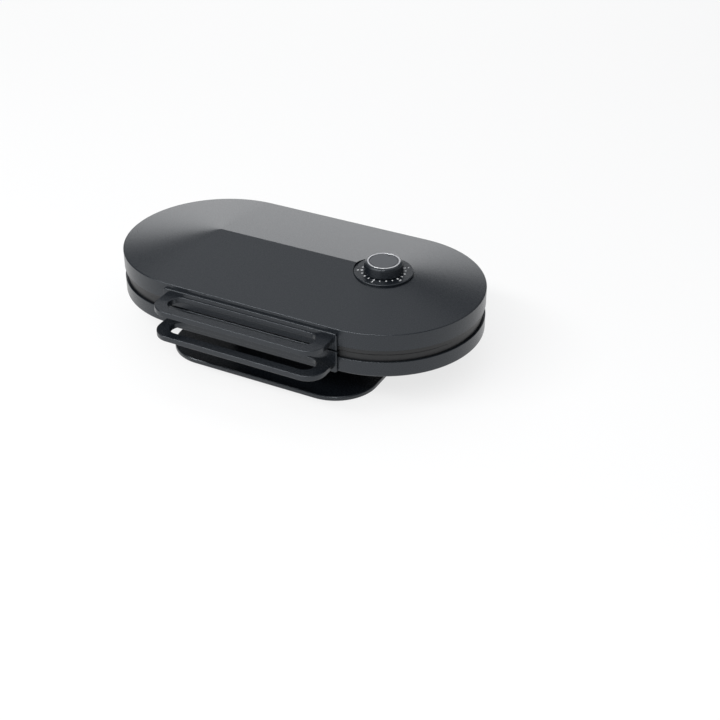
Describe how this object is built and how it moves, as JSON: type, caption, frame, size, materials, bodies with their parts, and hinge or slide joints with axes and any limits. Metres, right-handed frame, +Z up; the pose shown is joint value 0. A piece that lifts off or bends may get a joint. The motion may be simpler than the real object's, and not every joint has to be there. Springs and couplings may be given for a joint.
{
  "type": "double waffle maker",
  "caption": "Countertop waffle maker with two round bays side by side, a hinged hipped-roof lid, loop handles, a dial and a raised foot with a cord wrap.",
  "frame": {"origin": "on the table, under the middle of the machine's bounding box", "axes": "+X along the body towards the dial, -Y towards the handles, +Z up"},
  "size_m": [0.46, 0.2976, 0.1312],
  "materials": {
    "charcoal_moulding": "satin charcoal",
    "black_moulding": "fine matt black",
    "coated_casting": "dark non-stick coating on cast aluminium",
    "element_steel": "heat-dulled steel tube",
    "shield_sheet": "bright rolled sheet",
    "screw_steel": "zinc plated",
    "hinge_paint": "black powder coat",
    "black_rubber": "matt rubber",
    "pale_insulator": "heat-resistant moulding",
    "bright_trim": "satin chrome ring",
    "dark_cap": "satin dark grey",
    "white_mark": "pale grey mark"
  },
  "bodies": {
    "base": {"foot_plate": "charcoal_moulding", "foot_pads": "black_rubber", "pedestal": "charcoal_moulding", "foot_screws": "screw_steel", "pedestal_screws": "screw_steel", "cord_gland": "black_rubber", "cord_clamp": "pale_insulator", "clamp_screws": "screw_steel", "base_shell": "charcoal_moulding", "base_screws": "screw_steel", "wire_grommet": "black_rubber", "terminal_block": "pale_insulator", "terminal_screws": "screw_steel", "base_frame": "black_moulding", "lid_bumpers": "black_rubber", "lower_plate_left": "coated_casting", "lower_plate_right": "coated_casting", "lower_heater_left": "element_steel", "lower_heater_right": "element_steel", "lower_shield_left": "shield_sheet", "lower_shield_right": "shield_sheet", "lower_plate_screws": "screw_steel", "lower_handle": "charcoal_moulding", "lower_handle_screws": "screw_steel", "hinge_bracket_left": "hinge_paint", "hinge_bracket_right": "hinge_paint", "hinge_pin_left": "screw_steel", "hinge_pin_right": "screw_steel", "hinge_clips": "screw_steel", "base_hinge_backing": "screw_steel", "base_hinge_screws": "screw_steel", "lower_cutouts": "pale_insulator", "lower_cutout_screws": "screw_steel"},
    "lid": {"lid_shell": "charcoal_moulding", "lid_screws": "screw_steel", "lid_frame": "black_moulding", "dial_plate": "charcoal_moulding", "upper_plate_left": "coated_casting", "upper_plate_right": "coated_casting", "upper_heater_left": "element_steel", "upper_heater_right": "element_steel", "upper_shield_left": "shield_sheet", "upper_shield_right": "shield_sheet", "upper_plate_screws": "screw_steel", "thermostat_bracket": "screw_steel", "thermostat_body": "pale_insulator", "thermostat_screws": "screw_steel", "upper_cutout": "pale_insulator", "upper_cutout_screws": "screw_steel", "upper_handle": "charcoal_moulding", "upper_handle_screws": "screw_steel", "hinge_arm_left": "hinge_paint", "hinge_arm_right": "hinge_paint", "lid_hinge_backing": "screw_steel", "lid_hinge_screws": "screw_steel"},
    "dial": {"knob_body": "charcoal_moulding", "knob_ring": "bright_trim", "knob_cap": "dark_cap", "knob_pointer": "white_mark", "thermostat_shaft": "screw_steel"}
  },
  "joints": [
    {"name": "lid_hinge", "type": "hinge", "parent": "base", "child": "lid", "pos_m": [0, 0.1418, 0.07685], "axis": [-1, 0, 0], "range_deg": [0, 100]},
    {"name": "dial_turn", "type": "hinge", "parent": "lid", "child": "dial", "pos_m": [0.1104, 0.0132, 0.1182], "axis": [0, 0, -1], "range_deg": [0, 310.5]}
  ]
}
